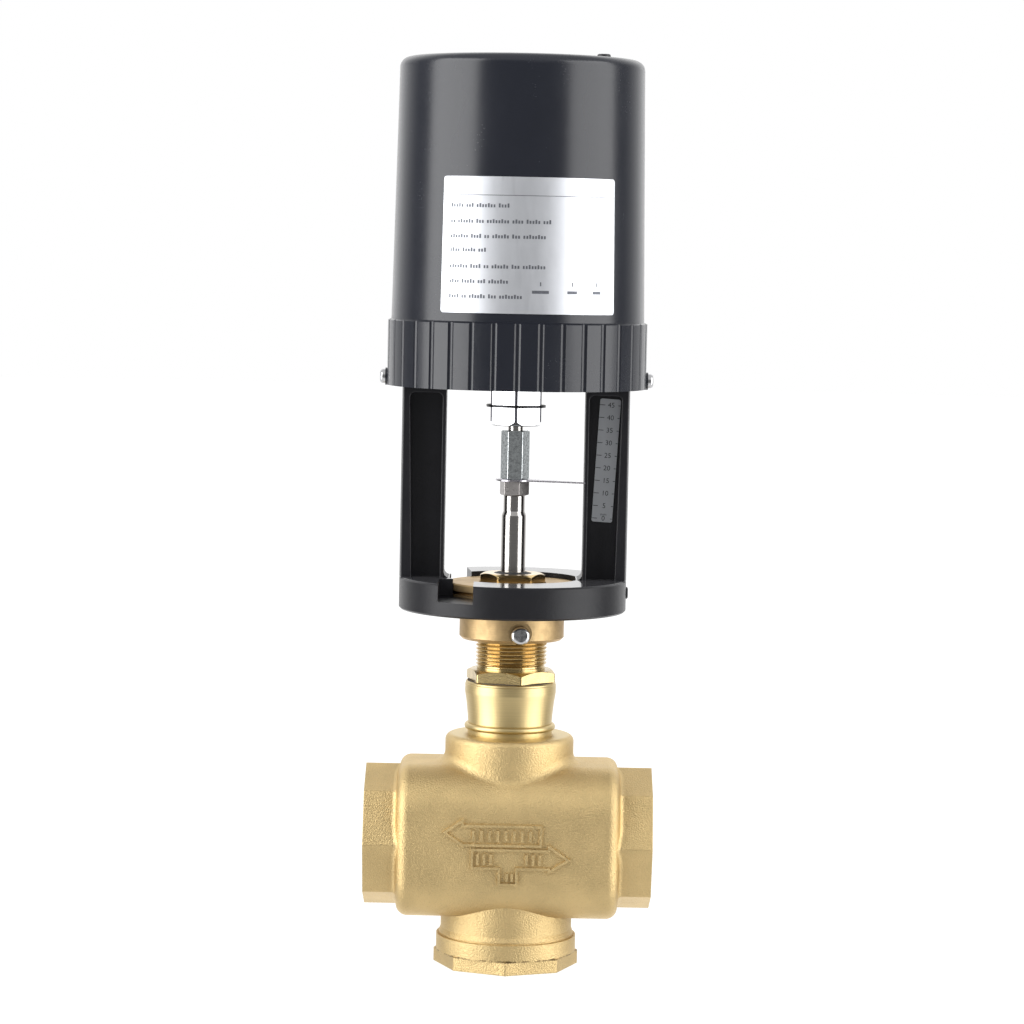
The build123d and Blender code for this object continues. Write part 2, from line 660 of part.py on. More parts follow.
def gear_plate_screws():
    top = UPPER_PLATE_Z + GEAR_PLATE
    for place in post_places():
        yield place * Pos(0, 0, top) * pan_screw(3.5, 2.4, 2.0, top - PLATE_LOW - 1.0)


def drive_bearing():
    top = LOWER_PLATE_Z + GEAR_PLATE
    bore = DRIVE_HUB_R + RUNNING
    return ring(15.0, bore, LOWER_PLATE_Z, top) + ring(18.0, bore, top, DRIVE_LOW - 0.1)


def drive_gear():
    """The large gear whose hub is the nut on the lead screw."""
    wheel = gear(DRIVE_TEETH, DRIVE_MODULE, DRIVE_LOW, DRIVE_HIGH)
    wheel -= ring(21.0, 14.5, DRIVE_HIGH - 3.0, DRIVE_HIGH)
    wheel += rod(DRIVE_HUB_R, LOWER_PLATE_Z - 0.4, DRIVE_LOW)
    wheel += rod(DRIVE_NECK_R, DRIVE_HIGH - 3.0, UPPER_PLATE_Z + GEAR_PLATE - 0.1)
    wheel -= rod(12.2, LOWER_PLATE_Z - 0.4, 254.5)
    wheel -= rod(SPINDLE_THREAD_R + 0.08, 254.0, UPPER_PLATE_Z + GEAR_PLATE)
    return Rot(0, 0, shaft_angle()) * wheel


def intermediate_shaft():
    """Override shaft with the small pinion cut on it and a hexagon socket in its top end."""
    top = 346.0
    shaft = rod(SHAFT_R, LOWER_PLATE_Z - 0.3, top)
    shaft += gear(SHAFT_TEETH, DRIVE_MODULE, DRIVE_LOW + 1.0, DRIVE_HIGH - 1.0)
    shaft += rod(5.4, DRIVE_HIGH - 1.0, WHEEL_LOW)
    shaft -= Pos(0, 0, top - 6.0) * extrude(RegularPolygon(1.5, 6, major_radius=False), 6.0)
    half_pitch = 180 / SHAFT_TEETH
    return Pos(SHAFT_X, SHAFT_Y, 0) * Rot(0, 0, shaft_angle() + 180 + half_pitch) * shaft


def intermediate_wheel():
    wheel = gear(WHEEL_TEETH, WHEEL_MODULE, WHEEL_LOW, WHEEL_HIGH)
    wheel -= ring(11.0, 6.5, WHEEL_HIGH - 1.2, WHEEL_HIGH)
    wheel -= rod(SHAFT_R + 0.01, WHEEL_LOW, WHEEL_HIGH)
    return Pos(SHAFT_X, SHAFT_Y, 0) * Rot(0, 0, motor_direction()) * wheel


def motor_pinion():
    x, y = pinion_place()
    pinion = gear(MOTOR_TEETH, WHEEL_MODULE, WHEEL_LOW - 0.5, WHEEL_HIGH + 0.5)
    pinion += rod(1.5, WHEEL_LOW - 1.2, 282.0)
    half_pitch = 180 / MOTOR_TEETH
    return Pos(x, y, 0) * Rot(0, 0, motor_direction() + 180 + half_pitch) * pinion


MOTOR_EAR_ANGLES = (150, 330)


def motor_ear_places():
    for angle in MOTOR_EAR_ANGLES:
        turn = math.radians(angle)
        yield MOTOR_X + 21.5 * math.cos(turn), MOTOR_Y + 21.5 * math.sin(turn)


def synchronous_motor():
    base = UPPER_PLATE_Z + GEAR_PLATE
    can = rod(MOTOR_R, base, 306.0, MOTOR_X, MOTOR_Y)
    can = fillet(can.edges().filter_by(GeomType.CIRCLE).sort_by(Axis.Z)[-1], 1.5)
    for x, y in motor_ear_places():
        can += rod(3.6, base, base + 1.2, x, y)
        bridge = Pos((x + MOTOR_X) / 2, (y + MOTOR_Y) / 2, base + 0.6)
        can += bridge * Rot(0, 0, MOTOR_EAR_ANGLES[0]) * Box(21.5, 7.2, 1.2)
    for x, y in motor_ear_places():
        can -= rod(1.6, base, base + 1.2, x, y)
    x, y = pinion_place()
    can += rod(4.8, UPPER_PLATE_Z + 0.2, base, x, y)
    return can - rod(1.5 + RUNNING, UPPER_PLATE_Z + 0.2, 282.5, x, y)


def motor_screws():
    base = UPPER_PLATE_Z + GEAR_PLATE + 1.2
    for x, y in motor_ear_places():
        yield Pos(x, y, base) * pan_screw(2.7, 1.9, 1.5, 1.2)


def trip_arm():
    """The arm on top of the lead screw that works the two limit switches."""
    low = SPINDLE_THREAD_TOP
    high = low + 2.0
    return rod(6.3, low, high) + block(-20.0, 0, -2.5, 2.5, low, high) - rod(STUD_R + 0.02, low, high)


def trip_nut():
    return hex_nut(10.0, SPINDLE_THREAD_TOP + 2.0, SPINDLE_THREAD_TOP + 5.5, STUD_R + 0.02)


def switch_bracket():
    base = UPPER_PLATE_Z + GEAR_PLATE
    return block(-37.0, -35.5, -8.0, 8.0, base, 308.0) + block(-37.0, -27.0, -5.0, 5.0, base, base + 1.5)


def limit_switches():
    for low in (278.6, 294.0):
        case = block(-35.5, -23.0, -5.0, 5.0, low, low + 9.0)
        case = fillet(case.edges().filter_by(Axis.Y), 0.6)
        plunger = Pos(-23.0, 0, low + 4.5) * Rot(0, 90, 0) * Cylinder(1.0, 2.2, align=BASE)
        yield case + plunger


def circuit_board():
    thick = 1.6
    board = rod(41.0, BOARD_Z, BOARD_Z + thick) & block(-45, 22, -45, 45, BOARD_Z, BOARD_Z + thick)
    for x, y in BOARD_POSTS:
        board -= rod(1.6, BOARD_Z, BOARD_Z + thick, x, y)
    return board


def board_posts():
    for x, y in BOARD_POSTS:
        yield rod(3.0, UPPER_PLATE_Z + GEAR_PLATE, BOARD_Z, x, y) - rod(1.55, BOARD_Z - 6.5, BOARD_Z, x, y)


def board_screws():
    for x, y in BOARD_POSTS:
        yield Pos(x, y, BOARD_Z + 1.6) * pan_screw(2.7, 1.9, 1.5, 6.0)


def run_capacitor():
    low = BOARD_Z + 1.6
    case = block(-20.0, 8.0, 12.0, 23.0, low, low + 18.0)
    return fillet(case.edges(), 1.2)


TERMINAL_WAYS = 5
TERMINAL_PITCH = 6.0


def terminal_places():
    for way in range(TERMINAL_WAYS):
        yield -8.0 + (way - (TERMINAL_WAYS - 1) / 2) * TERMINAL_PITCH


def terminal_block():
    low = BOARD_Z + 1.6
    width = TERMINAL_WAYS * TERMINAL_PITCH
    case = block(-8.0 - width / 2, -8.0 + width / 2, -30.0, -18.0, low, low + 13.0)
    case = chamfer(case.edges().filter_by(Axis.X).sort_by(Axis.Z)[-2:], 2.0)
    for x in terminal_places():
        case -= Pos(x, -24.0, low + 9.0) * Cylinder(2.2, 4.0, align=BASE)
        case -= block(x - 1.9, x + 1.9, -30.0, -26.5, low + 2.0, low + 6.5)
    return case


def terminal_screws():
    for x in terminal_places():
        screw = Pos(x, -24.0, BOARD_Z + 1.6 + 9.0) * Cylinder(2.0, 2.6, align=BASE)
        yield screw - block(x - 0.4, x + 0.4, -27.0, -21.0, BOARD_Z + 12.2, BOARD_Z + 14.0)


# ---- write every node -----------------------------------------------------------------------

SINGLE = {
    "valve_body": valve_body,
    "lower_seat_ring": lower_seat_ring,
    "valve_plug": valve_plug,
    "valve_stem": valve_stem,
    "bonnet": bonnet,
    "gland_nut": gland_nut,
    "stem_wiper": stem_wiper,
    "yoke_adapter": yoke_adapter,
    "yoke": yoke,
    "yoke_set_screw": yoke_set_screw,
    "travel_scale": travel_scale,
    "travel_pointer": travel_pointer,
    "coupling_nut": coupling_nut,
    "output_spindle": output_spindle,
    "retaining_ring": retaining_ring,
    "cover": cover,
    "override_plug": override_plug,
    "rating_label": rating_label,
    "cable_gland": cable_gland,
    "cable_gland_nut": cable_gland_nut,
    "cable_gland_seal": cable_gland_seal,
    "cable_gland_locknut": cable_gland_locknut,
    "spindle_guide": spindle_guide,
    "lower_gear_plate": lower_gear_plate,
    "upper_gear_plate": upper_gear_plate,
    "drive_bearing": drive_bearing,
    "drive_gear": drive_gear,
    "intermediate_shaft": intermediate_shaft,
    "intermediate_wheel": intermediate_wheel,
    "motor_pinion": motor_pinion,
    "synchronous_motor": synchronous_motor,
    "trip_arm": trip_arm,
    "trip_nut": trip_nut,
    "switch_bracket": switch_bracket,
    "circuit_board": circuit_board,
    "run_capacitor": run_capacitor,
    "terminal_block": terminal_block,
}
for node, make in SINGLE.items():
    save(node, make())

GROUPS = {
    "packing_rings": packing_rings,
    "cover_screws": cover_screws,
    "gear_plate_spacers": gear_plate_spacers,
    "gear_plate_screws": gear_plate_screws,
    "motor_screws": motor_screws,
    "limit_switches": limit_switches,
    "board_posts": board_posts,
    "board_screws": board_screws,
    "terminal_screws": terminal_screws,
}
for node, make in GROUPS.items():
    save_group(node, make())

save("plug_nut", hex_nut(13.0, 41.9, PLUG_LOW, 4.02))
save("bonnet_gasket", ring(17.2, 12.55, NECK_TOP, NECK_TOP + GASKET))
save("packing_washer", ring(PACKING_R - 0.05, STEM_R + 0.15, 128.0, 129.5))
save("adapter_screw", radial(ADAPTER_SCREW_ANGLE, 20.0, ADAPTER_SCREW_Z) * pan_screw(3.8, 2.6, 2.0, 5.6))
save("lock_nut", hex_nut(10.4, SHOULDER_Z, POINTER_Z, STUD_R + 0.02, turn=-13, corner=0.5))
save("coupling_stud", rod(STUD_R, 204.0, 229.8))
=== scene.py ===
import json
import math

import bmesh
import bpy
from mathutils import Matrix, Vector


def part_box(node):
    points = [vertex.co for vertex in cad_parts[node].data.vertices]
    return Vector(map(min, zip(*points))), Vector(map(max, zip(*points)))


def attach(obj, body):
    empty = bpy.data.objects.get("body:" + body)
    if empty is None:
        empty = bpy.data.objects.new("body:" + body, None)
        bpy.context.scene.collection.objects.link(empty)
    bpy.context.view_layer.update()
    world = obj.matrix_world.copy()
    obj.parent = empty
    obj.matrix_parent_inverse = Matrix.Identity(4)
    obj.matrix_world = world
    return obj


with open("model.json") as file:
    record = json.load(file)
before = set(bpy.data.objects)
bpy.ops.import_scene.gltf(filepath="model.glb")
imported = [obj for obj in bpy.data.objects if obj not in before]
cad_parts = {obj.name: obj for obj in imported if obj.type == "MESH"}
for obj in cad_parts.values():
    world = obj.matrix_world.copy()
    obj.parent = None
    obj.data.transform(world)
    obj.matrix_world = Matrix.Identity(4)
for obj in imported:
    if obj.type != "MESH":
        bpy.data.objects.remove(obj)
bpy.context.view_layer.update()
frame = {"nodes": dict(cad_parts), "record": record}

# Looks of the motorised three-way valve: a material for every CAD node, the pipe and bonnet threads,
# the rating label and the travel scale's markings. Metres, in the CAD model's own frame.

MM = 0.001
NODES = frame["nodes"]

# view and light
CAMERA_PLACE = (-0.0008, -1.330, 0.282)
CAMERA_PITCH = 4.35           # degrees below the horizon
CAMERA_ROLL = 1.137
CAMERA_LENS = 118.0
SOFTBOX_AIM = (0, 0, 0.22)
SOFTBOX_DISTANCE = 1.25
SOFTBOX_RISE = 0.1            # of the distance
SOFTBOX_AZIMUTH = {"softbox_left": 66.0, "softbox_right": 69.0}    # degrees from the front
SOFTBOX_WIDTH = 1.15
SOFTBOX_HEIGHT = 1.9
SOFTBOX_RADIANCE = {"softbox_left": 4.5, "softbox_right": 3.5}
BACK_LIGHT = 1.3              # what the room behind the object sends to its edges
FRONT_LIGHT = 0.225           # and the room in front of it
LOW_FILL = 0.85               # light from well below and well above the horizon
HIGH_FILL = 0.6
BACK_SPAN = (0.38, 0.85)      # a direction's Y where BACK_LIGHT starts and where it is full
LOW_SPAN = (-0.24, -0.55)     # and its Z for each fill
HIGH_SPAN = (0.30, 0.62)


# ---- material recipes -----------------------------------------------------------------------

class Recipe:
    """One material's nodes. Sizes are in millimetres, and places are the object's own coordinates."""

    def __init__(self, name, colour, roughness=0.5, metallic=0.0, **constants):
        self.material = bpy.data.materials.new(name)
        self.material.use_nodes = True
        self.tree = self.material.node_tree
        self.shader = self.tree.nodes["Principled BSDF"]
        self.shader.inputs["Base Color"].default_value = (*colour, 1.0)
        self.shader.inputs["Roughness"].default_value = roughness
        self.shader.inputs["Metallic"].default_value = metallic
        for socket, value in constants.items():
            self.shader.inputs[socket.replace("_", " ")].default_value = value
        self.place = self.node("ShaderNodeTexCoord").outputs["Object"]
        self.corners = self.node("ShaderNodeSeparateXYZ", {0: self.place}).outputs

    def node(self, kind, inputs=(), **settings):
        """A new node. inputs pairs a socket's name or number with a value or another node's output."""
        made = self.tree.nodes.new(kind)
        for key, value in settings.items():
            setattr(made, key, value)
        for socket, value in dict(inputs).items():
            if isinstance(value, bpy.types.NodeSocket):
                self.tree.links.new(value, made.inputs[socket])
            else:
                made.inputs[socket].default_value = value
        return made

    def feed(self, socket, output):
        self.tree.links.new(output, self.shader.inputs[socket])

    def math(self, operation, a, b=0.0):
        return self.node("ShaderNodeMath", {0: a, 1: b}, operation=operation).outputs[0]

    def noise(self, size, detail=2.0, rough=0.5, stretch=(1, 1, 1)):
        """Soft noise from 0 to 1, with lumps about size mm across."""
        place = self.node("ShaderNodeMapping", {"Vector": self.place, "Scale": stretch}).outputs[0]
        inputs = {"Vector": place, "Scale": 1 / (size * MM), "Detail": detail, "Roughness": rough}
        return self.node("ShaderNodeTexNoise", inputs).outputs["Fac"]

    def cells(self, size):
        """Rounded dimples about size mm across."""
        inputs = {"Vector": self.place, "Scale": 1 / (size * MM), "Smoothness": 0.4}
        return self.node("ShaderNodeTexVoronoi", inputs, feature="SMOOTH_F1").outputs["Distance"]

    def radius(self):
        """Distance from the stem's axis."""
        x_squared = self.math("MULTIPLY", self.corners[0], self.corners[0])
        y_squared = self.math("MULTIPLY", self.corners[1], self.corners[1])
        return self.math("SQRT", self.math("ADD", x_squared, y_squared))

    def lathe_lines(self, size):
        """Noise that changes only with height and radius, as a turning tool leaves it."""
        along = self.math("ADD", self.radius(), self.math("MULTIPLY", self.corners[2], 1.37))
        inputs = {"W": along, "Scale": 1 / (size * MM), "Detail": 3.0, "Roughness": 0.65}
        return self.node("ShaderNodeTexNoise", inputs, noise_dimensions="1D").outputs["Fac"]

    def span(self, value, low, high, new_low=0.0, new_high=1.0):
        """The stretch of value from low to high, mapped to new_low to new_high and held there."""
        inputs = {"Value": value, "From Min": low, "From Max": high, "To Min": new_low, "To Max": new_high}
        return self.node("ShaderNodeMapRange", inputs).outputs[0]

    def between(self, value, low, high, soft):
        """1 where value lies from low to high, with soft edges."""
        rising = self.span(value, low - soft, low)
        falling = self.span(value, high, high + soft, 1.0, 0.0)
        return self.math("MULTIPLY", rising, falling)

    def mix(self, share, a, b):
        """b over a by share: two colours, or two numbers."""
        is_colour = isinstance(a, tuple) or getattr(a, "type", "") == "RGBA"
        kind, first, second, out = ("RGBA", 6, 7, 2) if is_colour else ("FLOAT", 2, 3, 0)
        made = self.node("ShaderNodeMix", data_type=kind)
        for socket, value in ((0, share), (first, a), (second, b)):
            if isinstance(value, bpy.types.NodeSocket):
                self.tree.links.new(value, made.inputs[socket])
            else:
                made.inputs[socket].default_value = (*value, 1.0) if isinstance(value, tuple) else value
        return made.outputs[out]

    def bump(self, height, depth, under=None):
        """A bump depth mm deep; under is a coarser bump that it lies on."""
        inputs = {"Height": height, "Strength": 1.0, "Distance": depth * MM}
        if under is not None:
            inputs["Normal"] = under
        return self.node("ShaderNodeBump", inputs).outputs[0]


def scaled(colour, factor):
    return tuple(min(1.0, channel * factor) for channel in colour)


# ---- brass ----------------------------------------------------------------------------------

CAST_BRASS = (0.57, 0.43, 0.213)
TURNED_BRASS = (0.61, 0.48, 0.24)
COLLAR_BRASS = (0.52, 0.37, 0.19)
BONNET_BRASS = (0.55, 0.42, 0.20)
THREAD_BRASS = (0.56, 0.41, 0.19)
SEAM_DIRT = (0.10, 0.065, 0.03)
PORT_FACE_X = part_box("valve_body")[1].x
BOSS_TOP_Z = 0.0923           # the turned neck starts here
FOOT_TOP_Z = 0.0053           # seam between the octagon foot and its ring


def cast_brass():
    """Shot-blasted casting, with turned port faces, neck and foot ring."""
    made = Recipe("cast_brass", CAST_BRASS, metallic=1.0)
    neck = made.span(made.corners[2], BOSS_TOP_Z - 0.0004, BOSS_TOP_Z)
    face_low = (PORT_FACE_X - 0.00018) ** 2
    face_high = (PORT_FACE_X - 0.00008) ** 2
    ends = made.span(made.math("MULTIPLY", made.corners[0], made.corners[0]), face_low, face_high)
    foot = made.span(made.corners[2], 0.0001, 0.00018, 1.0, 0.0)
    turned = made.math("MAXIMUM", neck, made.math("MAXIMUM", ends, foot))

    cloud = made.noise(16.0, detail=4.0, rough=0.6)
    grain = made.noise(0.62, detail=3.0, rough=0.75)
    dark_specks = made.span(made.noise(0.7, detail=4.0, rough=0.8), 0.57, 0.72, 0.0, 0.5)
    seam = made.between(made.corners[2], FOOT_TOP_Z - 0.0001, FOOT_TOP_Z + 0.0002, 0.0004)
    smear = made.span(made.noise(3.0, detail=5.0, rough=0.75), 0.44, 0.58, 0.0, 0.95)
    seam_dirt = made.math("MULTIPLY", seam, smear)
    skin = made.mix(made.span(cloud, 0.35, 0.65), scaled(CAST_BRASS, 0.90), scaled(CAST_BRASS, 1.08))
    skin = made.mix(made.span(grain, 0.35, 0.65, 0.0, 0.5), skin, scaled(CAST_BRASS, 1.22))
    skin = made.mix(dark_specks, skin, scaled(CAST_BRASS, 0.55))
    skin = made.mix(seam_dirt, skin, SEAM_DIRT)
    lathe = made.lathe_lines(0.45)
    bright = made.mix(made.span(lathe, 0.3, 0.7), scaled(TURNED_BRASS, 0.90), scaled(TURNED_BRASS, 1.08))
    made.feed("Base Color", made.mix(turned, skin, bright))
    rough_skin = made.span(grain, 0.3, 0.7, 0.44, 0.62)
    rough_turned = made.span(lathe, 0.3, 0.7, 0.36, 0.46)
    made.feed("Roughness", made.mix(turned, rough_skin, rough_turned))

    as_cast = made.span(turned, 0, 1, 1.0, 0.0)
    blasted = made.math("MULTIPLY", made.math("ADD", grain, made.cells(0.6)), as_cast)
    grooved = made.math("MULTIPLY", lathe, made.math("MULTIPLY", turned, 0.12))
    made.feed("Normal", made.bump(made.math("ADD", blasted, grooved), 0.13))
    return made.material


def turned_brass(name, colour, line_depth=0.010, roughness=(0.20, 0.34)):
    """Brass straight off the lathe: fine rings, a little tarnish in patches."""
    made = Recipe(name, colour, metallic=1.0)
    lathe = made.lathe_lines(0.4)
    tarnish = made.span(made.noise(5.0, detail=5.0, rough=0.65), 0.42, 0.72)
    shade = made.mix(made.span(lathe, 0.3, 0.7), scaled(colour, 0.90), scaled(colour, 1.10))
    made.feed("Base Color", made.mix(tarnish, shade, scaled(colour, 0.78)))
    made.feed("Roughness", made.span(made.math("ADD", lathe, made.math("MULTIPLY", tarnish, 0.3)),
                                     0.3, 1.0, *roughness))
    made.feed("Normal", made.bump(lathe, line_depth))
    return made.material


# ---- steel ----------------------------------------------------------------------------------

def plain_steel(name, colour, roughness=(0.22, 0.38), grain_size=0.5, depth=0.004):
    """Rolled or plated steel: a fine even grain and faint cloudy patches."""
    made = Recipe(name, colour, metallic=1.0)
    grain = made.noise(grain_size, detail=3.0, rough=0.6)
    cloud = made.noise(4.0, detail=3.0, rough=0.6)
    made.feed("Base Color", made.mix(cloud, scaled(colour, 0.86), scaled(colour, 1.10)))
    made.feed("Roughness", made.span(grain, 0.3, 0.7, *roughness))
    made.feed("Normal", made.bump(grain, depth))
    return made.material


def stainless_stem():
    """Ground stainless bar with faint turned rings."""
    made = Recipe("stainless_steel", (0.60, 0.58, 0.56), metallic=1.0)
    lines = made.lathe_lines(0.25)
    made.feed("Base Color", made.mix(made.span(lines, 0.3, 0.7), (0.40, 0.38, 0.36), (0.52, 0.505, 0.49)))
    made.feed("Roughness", made.span(lines, 0.3, 0.7, 0.12, 0.21))
    made.feed("Normal", made.bump(lines, 0.003))
    return made.material


SPINDLE_LOW_Z = 0.2153
SPINDLE_EDGE_R = 11.2 * MM    # the hexagon's rounded corners lie outside this


def polished_spindle():
    """Ground and polished hexagon bar with faint vertical draw lines, and painted shade: dark lines along
    its corners and lower rim.
    """
    made = Recipe("polished_steel", (0.80, 0.81, 0.83), metallic=1.0)
    lines = made.noise(0.35, detail=3.0, rough=0.6, stretch=(1, 1, 0.03))
    # Painted shade: a dark band on the rounded corners and the lower rim stands in for the dark reflections
    # a polished bar shows there.
    corner = made.span(made.radius(), SPINDLE_EDGE_R - 0.05 * MM, SPINDLE_EDGE_R + 0.05 * MM)
    painted_rim_shade = made.span(made.corners[2], SPINDLE_LOW_Z + 0.35 * MM, SPINDLE_LOW_Z + 0.5 * MM, 1.0, 0.0)
    painted_edge_shade = made.math("MAXIMUM", corner, painted_rim_shade)
    bright = made.mix(lines, (0.72, 0.73, 0.75), (0.86, 0.87, 0.88))
    made.feed("Base Color", made.mix(painted_edge_shade, bright, (0.07, 0.07, 0.08)))
    made.feed("Roughness", made.mix(painted_edge_shade, made.span(lines, 0.3, 0.7, 0.09, 0.17), 0.45))
    made.feed("Normal", made.bump(lines, 0.002))
    return made.material


def zinc_nut():
    """Bright blue-passivated zinc with a mottled bloom."""
    made = Recipe("zinc_plate", (0.60, 0.66, 0.72), metallic=1.0)
    bloom = made.span(made.noise(0.9, detail=5.0, rough=0.7), 0.42, 0.66)
    made.feed("Base Color", made.mix(bloom, (0.80, 0.85, 0.86), (0.40, 0.42, 0.43)))
    made.feed("Roughness", made.span(bloom, 0.0, 1.0, 0.14, 0.26))
    made.feed("Normal", made.bump(made.noise(0.8, detail=4.0, rough=0.7), 0.004))
    return made.material


# ---- black parts ----------------------------------------------------------------------------

def black_shell():
    """Satin coated cover: fine orange peel, slightly cloudy sheen."""
    made = Recipe("black_shell", (0.013, 0.0135, 0.016), Specular_IOR_Level=0.5)
    peel = made.noise(0.9, detail=2.0, rough=0.5)
    cloud = made.noise(22.0, detail=4.0, rough=0.6, stretch=(1, 1, 0.6))
    dust = made.span(made.noise(0.5, detail=4.0, rough=0.8), 0.66, 0.74, 0.0, 0.15)
    base = made.mix(cloud, (0.009, 0.0105, 0.016), (0.014, 0.016, 0.024))
    made.feed("Base Color", made.mix(dust, base, (0.10, 0.10, 0.11)))
    made.feed("Roughness", made.math("ADD", made.span(cloud, 0.3, 0.7, 0.21, 0.26),
                                     made.span(peel, 0.3, 0.7, -0.02, 0.03)))
    made.feed("Normal", made.bump(peel, 0.006))
    return made.material


RING_TOP_Z = 0.1549           # upper face of the yoke's ring


def black_casting():
    """Satin black yoke; the ring's upper face is machined smooth and glossy."""
    made = Recipe("black_casting", (0.012, 0.012, 0.014), Specular_IOR_Level=0.28)
    machined = made.between(made.corners[2], RING_TOP_Z - 0.00012, RING_TOP_Z + 0.00004, 0.00003)
    grain = made.noise(0.55, detail=3.0, rough=0.7)
    cloud = made.noise(9.0, detail=4.0, rough=0.6)
    skin = made.mix(cloud, (0.009, 0.009, 0.011), (0.016, 0.016, 0.019))
    made.feed("Base Color", made.mix(machined, skin, (0.055, 0.055, 0.06)))
    made.feed("Roughness", made.mix(machined, made.span(grain, 0.3, 0.7, 0.30, 0.42), 0.13))
    blasted = made.math("MULTIPLY", grain, made.span(machined, 0, 1, 1.0, 0.04))
    made.feed("Normal", made.bump(blasted, 0.05))
    return made.material


def moulded(name, colour, roughness=(0.38, 0.52), depth=0.02):
    """Moulded plastic or rubber with a fine spark-eroded skin."""
    made = Recipe(name, colour)
    skin = made.noise(0.45, detail=3.0, rough=0.7)
    cloud = made.noise(6.0, detail=3.0, rough=0.6)
    made.feed("Base Color", made.mix(cloud, scaled(colour, 0.85), scaled(colour, 1.15)))
    made.feed("Roughness", made.span(skin, 0.3, 0.7, *roughness))
    made.feed("Normal", made.bump(skin, depth))
    return made.material


# ---- printed films --------------------------------------------------------------------------

def film(name, colour, roughness):
    """Satin metallised film with a faint vertical brushing."""
    made = Recipe(name, colour, metallic=0.85)
    brushing = made.noise(0.5, detail=3.0, rough=0.6, stretch=(1, 1, 0.05))
    cloud = made.noise(7.0, detail=3.0, rough=0.6)
    made.feed("Base Color", made.mix(cloud, scaled(colour, 0.94), scaled(colour, 1.05)))
    made.feed("Roughness", made.span(brushing, 0.3, 0.7, roughness - 0.04, roughness + 0.05))
    made.feed("Normal", made.bump(brushing, 0.003))
    return made.material


def ink(name, colour, metallic=0.0):
    """Thermal print: matt, a little uneven."""
    made = Recipe(name, colour, roughness=0.5, metallic=metallic)
    wear = made.noise(0.4, detail=3.0, rough=0.7)
    made.feed("Base Color", made.mix(made.span(wear, 0.35, 0.75), colour, scaled(colour, 1.8)))
    return made.material


# ---- parts inside the cover -----------------------------------------------------------------

def circuit_board():
    """Solder mask over copper tracks, with a fine weave showing through."""
    made = Recipe("circuit_green", (0.02, 0.13, 0.055), roughness=0.32)
    tracks = made.span(made.noise(3.0, detail=1.0, stretch=(1, 0.2, 1)), 0.50, 0.53)
    weave = made.noise(0.5, detail=1.0)
    base = made.mix(weave, (0.016, 0.11, 0.045), (0.024, 0.15, 0.06))
    made.feed("Base Color", made.mix(tracks, base, (0.04, 0.22, 0.09)))
    made.feed("Normal", made.bump(tracks, 0.03))
    return made.material


def materials():
    """Each material slot of the record, with its material."""
    return {
        "cast_brass": cast_brass(),
        "turned_brass": turned_brass("turned_brass", COLLAR_BRASS, roughness=(0.44, 0.58)),
        "stainless_steel": stainless_stem(),
        "zinc_plate": zinc_nut(),
        "polished_steel": polished_spindle(),
        "screw_steel": plain_steel("screw_steel", (0.55, 0.55, 0.56), (0.16, 0.28)),
        "black_oxide": plain_steel("black_oxide", (0.035, 0.035, 0.038), (0.30, 0.45)),
        "black_casting": black_casting(),
        "black_shell": black_shell(),
        "black_nylon": moulded("black_nylon", (0.024, 0.024, 0.027)),
        "silver_label": film("silver_label", (0.66, 0.675, 0.71), 0.42),
        "scale_plate": film("scale_plate", (0.46, 0.475, 0.50), 0.42),
        "black_rubber": moulded("black_rubber", (0.020, 0.020, 0.021), (0.55, 0.70), 0.03),
        "fibre_gasket": moulded("fibre_gasket", (0.07, 0.055, 0.04), (0.70, 0.85), 0.05),
        "ptfe": moulded("ptfe", (0.82, 0.82, 0.79), (0.40, 0.55)),
        "washer_steel": plain_steel("washer_steel", (0.55, 0.55, 0.56)),
        "bearing_bronze": turned_brass("bearing_bronze", (0.45, 0.28, 0.13), roughness=(0.28, 0.42)),
        "gear_plate_steel": plain_steel("gear_plate_steel", (0.58, 0.59, 0.61), grain_size=2.0),
        "gear_nylon": moulded("gear_nylon", (0.78, 0.75, 0.66)),
        "gear_steel": plain_steel("gear_steel", (0.45, 0.45, 0.47)),
        "motor_can": plain_steel("motor_can", (0.54, 0.54, 0.56), (0.28, 0.40)),
        "circuit_green": circuit_board(),
        "capacitor_case": moulded("capacitor_case", (0.48, 0.33, 0.06), (0.22, 0.32), 0.01),
        "terminal_green": moulded("terminal_green", (0.05, 0.27, 0.10)),
        "switch_case": moulded("switch_case", (0.05, 0.05, 0.06)),
    }


def dress_cad(made):
    """Gives every CAD node the material of its slot, and the nodes that differ their own."""
    for part in frame["record"]["subparts"]:
        assign(NODES[part["node"]], made[part["material_slot"]])
    assign(NODES["gland_nut"], turned_brass("gland_brass", (0.68, 0.50, 0.24), roughness=(0.14, 0.24)))
    assign(NODES["bonnet"], turned_brass("bonnet_brass", BONNET_BRASS, roughness=(0.20, 0.32)))
    assign(NODES["lock_nut"], plain_steel("lock_nut_steel", (0.38, 0.36, 0.35), (0.26, 0.40), depth=0.01))
    assign(NODES["travel_pointer"], plain_steel("pointer_steel", (0.50, 0.48, 0.52), (0.20, 0.34)))


def assign(piece, material):
    piece.data.materials.clear()
    piece.data.materials.append(material)


# ---- pieces ---------------------------------------------------------------------------------

def join_rings(mesh, rings):
    """Faces from each ring of vertices to the next."""
    count = len(rings[0])
    for near, far in zip(rings, rings[1:]):
        for i in range(count):
            j = (i + 1) % count
            mesh.faces.new((near[i], near[j], far[j], far[i]))


def finish_piece(name, mesh):
    """A new object from the mesh, which is used up."""
    data = bpy.data.meshes.new(name)
    mesh.to_mesh(data)
    mesh.free()
    piece = bpy.data.objects.new(name, data)
    bpy.context.scene.collection.objects.link(piece)
    return piece


WELD_DISTANCE = 1e-6
THREAD_COLUMNS = 72
THREAD_PROFILE = (            # share of the pitch, and share of the way from root to crest
    (0.0, 1.0), (0.10, 0.92), (0.37, 0.10), (0.5, 0.0), (0.63, 0.10), (0.90, 0.92), (1.0, 1.0))


